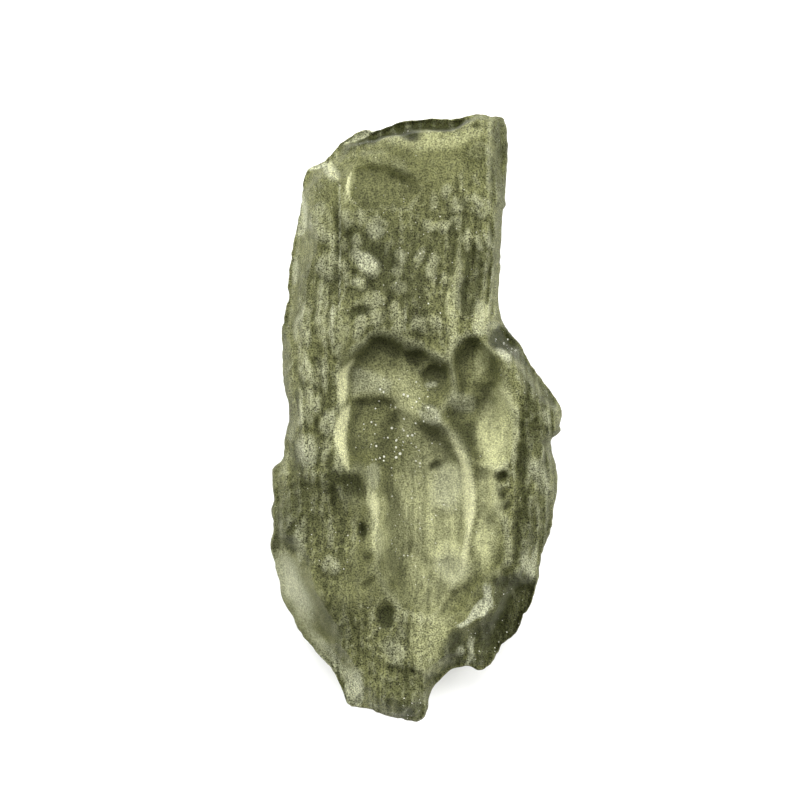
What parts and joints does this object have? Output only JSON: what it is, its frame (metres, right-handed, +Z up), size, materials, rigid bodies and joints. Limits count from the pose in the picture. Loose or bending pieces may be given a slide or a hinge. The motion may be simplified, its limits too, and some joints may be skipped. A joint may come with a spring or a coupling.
{
  "type": "moldavite",
  "caption": "Long flattened splinter of natural green glass, etched all over, with deep scooped hollows on its face; lies on a small flat spot on its back.",
  "frame": {"origin": "middle of the outline, on the surface that the stone lies on", "axes": "+Z up out of the scooped face, +Y along the stone towards its broken end, +X to the right of the face"},
  "size_m": [0.0176, 0.0366, 0.0077],
  "materials": {
    "moldavite_glass": "satin, etched, translucent"
  },
  "bodies": {
    "root": {"moldavite": "moldavite_glass"}
  },
  "joints": []
}
